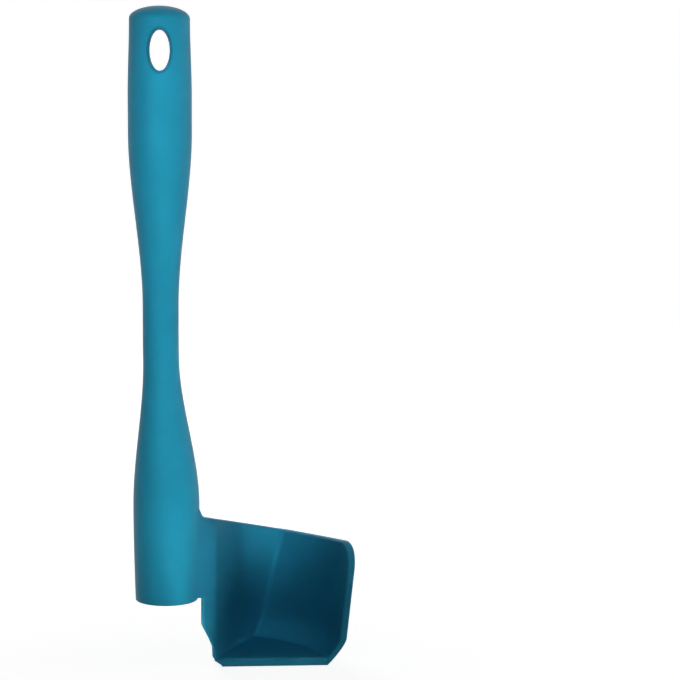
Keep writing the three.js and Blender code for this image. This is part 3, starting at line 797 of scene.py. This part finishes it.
def scoop_body(sizes, h):
    """The scoop: its outside and its pocket as two grids, joined along the rim, the lip and both ends."""
    s = SimpleNamespace(**{key: getattr(sizes, key) for key in sizes.bl_rna.properties.keys()})
    s.socket = h.socket
    s.away = h.mouth + s.root_proud - s.wall / 2
    outside, outside_near = scoop_sheet(s, h, 1)
    pocket, pocket_near = scoop_sheet(s, h, -1)
    shape = outside.shape[:2]
    index = np.arange(2 * shape[0] * shape[1]).reshape(2, *shape)
    faces = np.concatenate([
        quads(index[0]), quads(index[1])[:, ::-1],
        strip(index[1, 0], index[0, 0]), strip(index[0, -1], index[1, -1]),
        strip(index[0, :, 0], index[1, :, 0]), strip(index[1, :, -1], index[0, :, -1]),
    ])
    points = np.concatenate([outside.reshape(-1, 3), pocket.reshape(-1, 3)])
    near = np.concatenate([outside_near.ravel(), pocket_near.ravel()])
    return points, faces, np.exp(-near / EDGE_WEAR)


def plastic(name, tint, roughness):
    """Moulded plastic: fine grain in the bump, slow changes of colour and gloss, and paler worn edges."""
    material = bpy.data.materials.new(name)
    material.use_nodes = True
    nodes, links = material.node_tree.nodes, material.node_tree.links
    shader = nodes["Principled BSDF"]
    shader.inputs["Specular IOR Level"].default_value = 0.25
    shader.inputs["Specular Tint"].default_value = (*[v / max(tint) for v in tint], 1.0)
    place = nodes.new("ShaderNodeTexCoord")

    def noise(scale, detail):
        """Noise on the piece's own coordinates."""
        node = nodes.new("ShaderNodeTexNoise")
        node.inputs["Scale"].default_value = scale
        node.inputs["Detail"].default_value = detail
        links.new(place.outputs["Object"], node.inputs["Vector"])
        return node.outputs["Fac"]

    cloud = noise(55.0, 4.0)
    shades = nodes.new("ShaderNodeValToRGB")
    shades.color_ramp.elements[0].position = 0.3
    shades.color_ramp.elements[1].position = 0.7
    shades.color_ramp.elements[0].color = (*[v * 0.95 for v in tint], 1.0)
    shades.color_ramp.elements[1].color = (*[v * 1.05 for v in tint], 1.0)
    links.new(cloud, shades.inputs["Fac"])
    wear = nodes.new("ShaderNodeAttribute")
    wear.attribute_name = "wear"
    scuff = nodes.new("ShaderNodeMath")
    scuff.operation = "MULTIPLY"
    links.new(wear.outputs["Fac"], scuff.inputs[0])
    links.new(cloud, scuff.inputs[1])
    paler = nodes.new("ShaderNodeMix")
    paler.data_type = "RGBA"
    paler.blend_type = "SCREEN"
    links.new(scuff.outputs[0], paler.inputs["Factor"])
    links.new(shades.outputs["Color"], paler.inputs["A"])
    paler.inputs["B"].default_value = (0.012, 0.05, 0.07, 1.0)
    links.new(paler.outputs["Result"], shader.inputs["Base Color"])
    dull = nodes.new("ShaderNodeMapRange")
    dull.inputs["To Min"].default_value = roughness - 0.05
    dull.inputs["To Max"].default_value = roughness + 0.05
    links.new(noise(140.0, 3.0), dull.inputs["Value"])
    links.new(dull.outputs["Result"], shader.inputs["Roughness"])
    bump = nodes.new("ShaderNodeBump")
    bump.inputs["Strength"].default_value = 0.10
    bump.inputs["Distance"].default_value = 0.00006
    links.new(noise(2600.0, 2.0), bump.inputs["Height"])
    links.new(bump.outputs["Normal"], shader.inputs["Normal"])
    return material


def seen_directly(tree):
    """A socket that is 1 for rays of the camera, of reflections and of clear things, and 0 for the rest."""
    path = tree.nodes.new("ShaderNodeLightPath")
    total = path.outputs["Is Camera Ray"]
    for kind in ("Is Glossy Ray", "Is Transmission Ray"):
        either = tree.nodes.new("ShaderNodeMath")
        either.operation = "MAXIMUM"
        tree.links.new(total, either.inputs[0])
        tree.links.new(path.outputs[kind], either.inputs[1])
        total = either.outputs[0]
    return total


def attach(piece, body, node, material):
    """Gives a piece its finish and its place in the frame."""
    piece.data.materials.append(material)
    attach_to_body(piece, body)
    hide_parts(node)


class SPATULA_OT_handle(bpy.types.Operator):
    """Builds the front and back shells of the handle"""

    bl_idname = "spatula.handle"
    bl_label = "Handle shells"

    def execute(self, context):
        sizes = context.scene.spatula
        finish = plastic("petrol_handle", sizes.handle.tint, MATTE)
        for node, facing in (("handle_front_shell", -1.0), ("handle_back_shell", 1.0)):
            piece = add_piece(node + "_skin", *handle_half(sizes.handle, sizes.eyelet, sizes.cup, facing))
            attach(piece, "spatula", node, finish)
        return {"FINISHED"}


class SPATULA_OT_eyelet(bpy.types.Operator):
    """Builds the sleeve of the hanging hole"""

    bl_idname = "spatula.eyelet"
    bl_label = "Hanging eyelet"

    def execute(self, context):
        sizes = context.scene.spatula
        piece = add_piece("hang_eyelet_skin", *eyelet_sleeve(sizes.handle, sizes.eyelet))
        # The eyelet's darker finish is painted shade for the dark ring round the hole.
        finish = plastic("petrol_eyelet_painted_shade", sizes.eyelet.tint, MATTE)
        attach(piece, "spatula", "hang_eyelet", finish)
        return {"FINISHED"}


class SPATULA_OT_scoop(bpy.types.Operator):
    """Builds the scoop"""

    bl_idname = "spatula.scoop"
    bl_label = "Scoop"

    def execute(self, context):
        sizes = context.scene.spatula
        piece = add_piece("scoop_skin", *scoop_body(sizes.scoop, sizes.handle))
        finish = plastic("petrol_scoop", sizes.scoop.tint, MATTE)
        attach(piece, "spatula", "scoop", finish)
        return {"FINISHED"}


class SPATULA_OT_cup(bpy.types.Operator):
    """Builds the bearing cup inside the socket"""

    bl_idname = "spatula.cup"
    bl_label = "Hub cup"

    def execute(self, context):
        sizes = context.scene.spatula
        piece = add_piece("hub_cup_skin", *cup_body(sizes.handle, sizes.cup))
        finish = plastic("petrol_cup", sizes.cup.tint, SMOOTH)
        attach(piece, "hub", "hub_cup", finish)
        return {"FINISHED"}


class SPATULA_OT_stage(bpy.types.Operator):
    """Builds the floor, the light and the camera"""

    bl_idname = "spatula.stage"
    bl_label = "Stage"

    def execute(self, context):
        stage = context.scene.spatula.stage
        sole = -context.scene.spatula.scoop.sole_drop
        self.ground(context, stage, sole)
        # Soft lights round the object. Each has its azimuth and elevation, then its distance, size and power.
        middle, box = (0.02, 0.0, 0.10), (0.50, 0.50)
        self.lamp(context, "right", middle, 90.0, 10.0, 1.0, box, stage.right)
        self.lamp(context, "left", middle, -94.0, 20.0, 1.0, box, stage.left)
        self.lamp(context, "front_right", middle, 30.0, 15.0, 1.0, box, stage.front_right)
        self.lamp(context, "front_left", middle, -20.0, 15.0, 1.0, box, stage.front_left)
        # Gridded lights, each on its own part of the object.
        self.lamp(context, "grip", (-0.002, 0.0, 0.195), -26.0, 20.0, 0.5, (0.05, 0.12), stage.grip, 8.0)
        self.lamp(context, "neck", (-0.001, 0.0, 0.128), 2.0, 0.0, 0.5, (0.03, 0.25), stage.neck, 5.0)
        self.lamp(context, "flank", (-0.001, 0.0, 0.150), 40.0, 0.0, 0.5, (0.06, 0.24), stage.flank, 5.0)
        self.lamp(context, "socket", (0.002, 0.0, 0.020), 26.0, 0.0, 0.5, (0.010, 0.05), stage.socket, 3.0)
        self.lamp(context, "pocket", (0.053, 0.035, 0.026), 22.0, 12.0, 0.5, (0.02, 0.02), stage.pocket, 7.0)
        self.lamp(context, "heel", (0.0176, 0.0, 0.002), -20.0, 0.0, 0.2, (0.003, 0.054), stage.heel, 2.0)
        self.lamp(context, "lip", (0.046, 0.0, -0.0285), 0.0, 1.0, 0.5, (0.05, 0.004), stage.lip, 3.0)
        # A soft light behind, which shows in no reflection.
        back = self.lamp(context, "back", middle, 195.0, 28.0, 1.0, box, stage.back)
        back.visible_glossy = False
        self.sky(context, stage)
        self.camera(context, stage)
        context.scene.view_settings.view_transform = "Standard"
        return {"FINISHED"}

    def ground(self, context, stage, sole):
        """A floor that sweeps up into a backdrop: a profile of depth and height, carried along X."""
        room, start, sweep, foot = 3.0, 1.0, 0.8, 0.03
        bend = np.linspace(0.0, 0.5 * np.pi, 24)
        depth = np.r_[-room, start + sweep * np.sin(bend), start + sweep]
        height = np.r_[0.0, sweep * (1.0 - np.cos(bend)), room] + sole
        across = np.array([-room, room])
        points = np.stack(np.broadcast_arrays(across[:, None], depth, height), axis=-1)
        mesh = bpy.data.meshes.new("floor")
        faces = quads(np.arange(2 * len(depth)).reshape(2, -1))
        mesh.from_pydata(points.reshape(-1, 3).tolist(), [], faces.tolist())
        mesh.polygons.foreach_set("use_smooth", np.ones(len(mesh.polygons), dtype=bool))
        material = bpy.data.materials.new("floor")
        material.use_nodes = True
        nodes, links = material.node_tree.nodes, material.node_tree.links
        bright = nodes.new("ShaderNodeEmission")
        place = nodes.new("ShaderNodeTexCoord")
        round_foot = nodes.new("ShaderNodeMapping")
        round_foot.inputs["Scale"].default_value = (1.0 / stage.glow,) * 3
        round_foot.inputs["Location"].default_value = (-foot / stage.glow, 0.0, -sole / stage.glow)
        links.new(place.outputs["Object"], round_foot.inputs["Vector"])
        ball = nodes.new("ShaderNodeTexGradient")
        ball.gradient_type = "SPHERICAL"
        links.new(round_foot.outputs["Vector"], ball.inputs["Vector"])
        white = nodes.new("ShaderNodeValToRGB")
        white.color_ramp.elements[0].color = (0.985, 0.985, 0.985, 1.0)
        white.color_ramp.elements[1].color = (0.885, 0.885, 0.885, 1.0)
        links.new(ball.outputs["Fac"], white.inputs["Fac"])
        links.new(white.outputs["Color"], bright.inputs["Color"])
        plain = nodes["Principled BSDF"]
        plain.inputs["Base Color"].default_value = (*stage.ground, 1.0)
        plain.inputs["Roughness"].default_value = 0.9
        plain.inputs["Specular IOR Level"].default_value = 0.0
        both = nodes.new("ShaderNodeAddShader")
        links.new(bright.outputs[0], both.inputs[0])
        links.new(plain.outputs[0], both.inputs[1])
        choose = nodes.new("ShaderNodeMixShader")
        links.new(seen_directly(material.node_tree), choose.inputs["Fac"])
        links.new(plain.outputs[0], choose.inputs[1])
        links.new(both.outputs[0], choose.inputs[2])
        links.new(choose.outputs[0], nodes["Material Output"].inputs["Surface"])
        mesh.materials.append(material)
        floor = bpy.data.objects.new("floor", mesh)
        context.scene.collection.objects.link(floor)

    def lamp(self, context, name, target, azimuth, elevation, distance, size, watts, spread=180.0):
        """A soft rectangular light, turned round a target. A small spread keeps its light on the target."""
        turn, rise = math.radians(azimuth), math.radians(elevation)
        away = Vector((math.sin(turn) * math.cos(rise), -math.cos(turn) * math.cos(rise), math.sin(rise)))
        data = bpy.data.lights.new(name, "AREA")
        data.shape = "RECTANGLE"
        data.size, data.size_y = size
        data.energy = watts
        data.spread = math.radians(spread)
        lamp = bpy.data.objects.new(name, data)
        lamp.location = Vector(target) + distance * away
        lamp.rotation_euler = (-away).to_track_quat("-Z", "Y").to_euler()
        context.scene.collection.objects.link(lamp)
        return lamp

    def sky(self, context, stage):
        """Weak light from all round, white where the camera or a reflection sees it."""
        world = bpy.data.worlds.new("studio")
        context.scene.world = world
        world.use_nodes = True
        nodes, links = world.node_tree.nodes, world.node_tree.links
        weak = nodes["Background"]
        weak.inputs["Color"].default_value = (1.0, 1.0, 1.0, 1.0)
        weak.inputs["Strength"].default_value = stage.fill
        white = nodes.new("ShaderNodeBackground")
        white.inputs["Color"].default_value = (1.0, 1.0, 1.0, 1.0)
        choose = nodes.new("ShaderNodeMixShader")
        links.new(seen_directly(world.node_tree), choose.inputs["Fac"])
        links.new(weak.outputs[0], choose.inputs[1])
        links.new(white.outputs[0], choose.inputs[2])
        links.new(choose.outputs[0], nodes["World Output"].inputs["Surface"])

    def camera(self, context, stage):
        """The camera at the photograph's angle."""
        cp, sp = math.cos(stage.pitch), math.sin(stage.pitch)
        forward = Vector((math.sin(stage.yaw) * cp, math.cos(stage.yaw) * cp, sp))
        right = Vector((math.cos(stage.yaw), -math.sin(stage.yaw), 0.0))
        up = right.cross(forward)
        across = right * math.cos(stage.roll) + up * math.sin(stage.roll)
        upward = up * math.cos(stage.roll) - right * math.sin(stage.roll)
        data = bpy.data.cameras.new("camera")
        data.lens = stage.lens
        data.clip_start = 0.01
        eye = bpy.data.objects.new("camera", data)
        turn = Matrix((across, upward, -forward)).transposed().to_4x4()
        eye.matrix_world = Matrix.Translation(stage.eye) @ turn
        context.scene.collection.objects.link(eye)
        context.scene.camera = eye


class VIEW3D_PT_spatula(bpy.types.Panel):
    """Lists the steps that build the spatula"""

    bl_label = "Rotating spatula"
    bl_idname = "VIEW3D_PT_spatula"
    bl_space_type = "VIEW_3D"
    bl_region_type = "UI"
    bl_category = "Spatula"

    def draw(self, context):
        for step in STEPS:
            self.layout.operator(step.bl_idname)


STEPS = (SPATULA_OT_handle, SPATULA_OT_eyelet, SPATULA_OT_scoop, SPATULA_OT_cup, SPATULA_OT_stage)
CLASSES = (HandleSizes, EyeletSizes, CupSizes, ScoopSizes, StageSettings, SpatulaSettings, *STEPS,
           VIEW3D_PT_spatula)


def register():
    for cls in CLASSES:
        bpy.utils.register_class(cls)
    bpy.types.Scene.spatula = PointerProperty(type=SpatulaSettings)


def unregister():
    del bpy.types.Scene.spatula
    for cls in reversed(CLASSES):
        bpy.utils.unregister_class(cls)


def main():
    """Registers the classes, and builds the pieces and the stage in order."""
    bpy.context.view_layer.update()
    register()
    bpy.ops.spatula.handle()
    bpy.ops.spatula.eyelet()
    bpy.ops.spatula.scoop()
    bpy.ops.spatula.cup()
    bpy.ops.spatula.stage()


if __name__ == "__main__":
    main()
